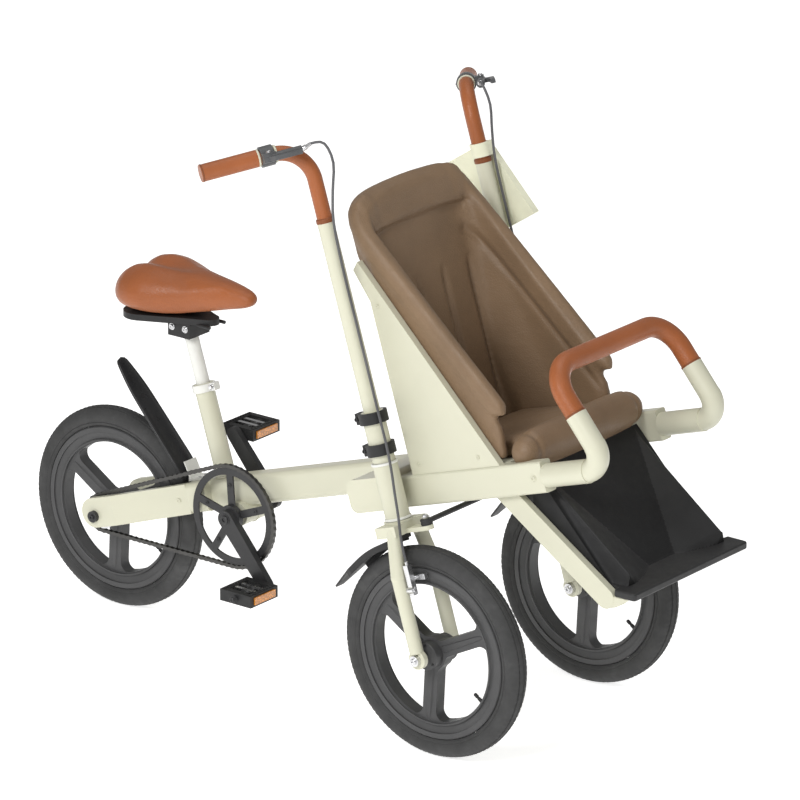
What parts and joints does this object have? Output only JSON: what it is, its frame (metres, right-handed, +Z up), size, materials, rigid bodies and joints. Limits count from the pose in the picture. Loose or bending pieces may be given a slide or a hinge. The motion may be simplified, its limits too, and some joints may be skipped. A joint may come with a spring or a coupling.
{
  "type": "cargo tricycle with child seat",
  "caption": "Cargo tricycle with a padded child seat and footrest between steered front wheels, and a saddle, pedals and chain drive over a driven rear wheel.",
  "frame": {"origin": "on the ground below the middle of the tricycle's length and width", "axes": "+X forward, +Y to the rider's left, +Z up"},
  "size_m": [1.5452, 0.8048, 1.1158],
  "materials": {
    "cream_paint": "satin",
    "pouch_fabric": "matt",
    "tan_hide": "satin",
    "brown_hide": "satin",
    "black_plastic": "matt",
    "black_metal": "satin",
    "tyre_rubber": "matt",
    "steel": "brushed",
    "lever_grey": "satin",
    "amber": "gloss",
    "cable_sheath": "matt"
  },
  "bodies": {
    "frame": {"main_tube": "cream_paint", "right_stay": "cream_paint", "left_stay": "cream_paint", "cross_beam": "cream_paint", "right_arm": "cream_paint", "left_arm": "cream_paint", "seat_pan": "cream_paint", "right_side_panel": "cream_paint", "left_side_panel": "cream_paint", "grab_bar": "cream_paint", "grab_sleeve": "tan_hide", "seat_back": "brown_hide", "right_wing": "brown_hide", "left_wing": "brown_hide", "seat_cushion": "brown_hide", "foot_rails": "cream_paint", "footrest": "black_plastic", "seat_post": "steel", "post_clamp": "steel", "saddle_base": "black_plastic", "saddle": "tan_hide", "rear_axle": "steel", "rear_fender": "black_plastic", "chain": "black_metal"},
    "rear_wheel": {"rear_rim": "black_plastic", "rear_tyre": "tyre_rubber", "rear_sprocket": "steel"},
    "crank": {"chainring": "black_metal", "crankset": "black_metal"},
    "right_pedal_body": {"right_pedal": "black_plastic", "right_reflectors": "amber"},
    "left_pedal_body": {"left_pedal": "black_plastic", "left_reflectors": "amber"},
    "right_steer": {"right_fork": "cream_paint", "right_column": "cream_paint", "right_clamps": "black_plastic", "right_bar": "tan_hide", "right_lever": "lever_grey", "right_cable": "cable_sheath", "right_brake": "steel", "right_fender": "black_plastic", "right_axle": "steel"},
    "left_steer": {"left_fork": "cream_paint", "left_column": "cream_paint", "left_clamps": "black_plastic", "left_bar": "tan_hide", "left_lever": "lever_grey", "left_cable": "cable_sheath", "left_brake": "steel", "left_fender": "black_plastic", "left_axle": "steel", "pouch": "pouch_fabric"},
    "right_wheel": {"right_rim": "black_plastic", "right_tyre": "tyre_rubber"},
    "left_wheel": {"left_rim": "black_plastic", "left_tyre": "tyre_rubber"},
    "tie_rod_body": {"tie_rod": "steel"}
  },
  "joints": [
    {"name": "rear_wheel_spin", "type": "hinge", "parent": "frame", "child": "rear_wheel", "pos_m": [-0.57264, 0, 0.2], "axis": [0, 1, 0], "continuous": true},
    {"name": "crank_spin", "type": "hinge", "parent": "frame", "child": "crank", "pos_m": [-0.25044, 0, 0.26534], "axis": [0, 1, 0], "continuous": true},
    {"name": "right_pedal_spin", "type": "hinge", "parent": "crank", "child": "right_pedal_body", "pos_m": [-0.15723, -0.119, 0.15427], "axis": [0, 1, 0], "continuous": true},
    {"name": "left_pedal_spin", "type": "hinge", "parent": "crank", "child": "left_pedal_body", "pos_m": [-0.34364, 0.119, 0.37642], "axis": [0, 1, 0], "continuous": true},
    {"name": "left_steer_turn", "type": "hinge", "parent": "frame", "child": "left_steer", "pos_m": [0.27731, 0.233, 0.46636], "axis": [-0.299, 0, 0.9542], "range_deg": [-30, 30]},
    {"name": "right_steer_turn", "type": "hinge", "parent": "frame", "child": "right_steer", "pos_m": [0.27731, -0.233, 0.46636], "axis": [-0.299, 0, 0.9542], "range_deg": [-30, 30]},
    {"name": "tie_rod_pivot", "type": "hinge", "parent": "left_steer", "child": "tie_rod_body", "pos_m": [0.35124, 0.233, 0.44446], "axis": [-0.299, 0, 0.9542], "range_deg": [-31, 31]},
    {"name": "left_wheel_spin", "type": "hinge", "parent": "left_steer", "child": "left_wheel", "pos_m": [0.37336, 0.233, 0.2], "axis": [0, 1, 0], "continuous": true},
    {"name": "right_wheel_spin", "type": "hinge", "parent": "right_steer", "child": "right_wheel", "pos_m": [0.37336, -0.233, 0.2], "axis": [0, 1, 0], "continuous": true}
  ],
  "couplings": [
    {"joint": "right_steer_turn", "follows": "left_steer_turn", "ratio": 1},
    {"joint": "tie_rod_pivot", "follows": "left_steer_turn", "ratio": -1}
  ]
}
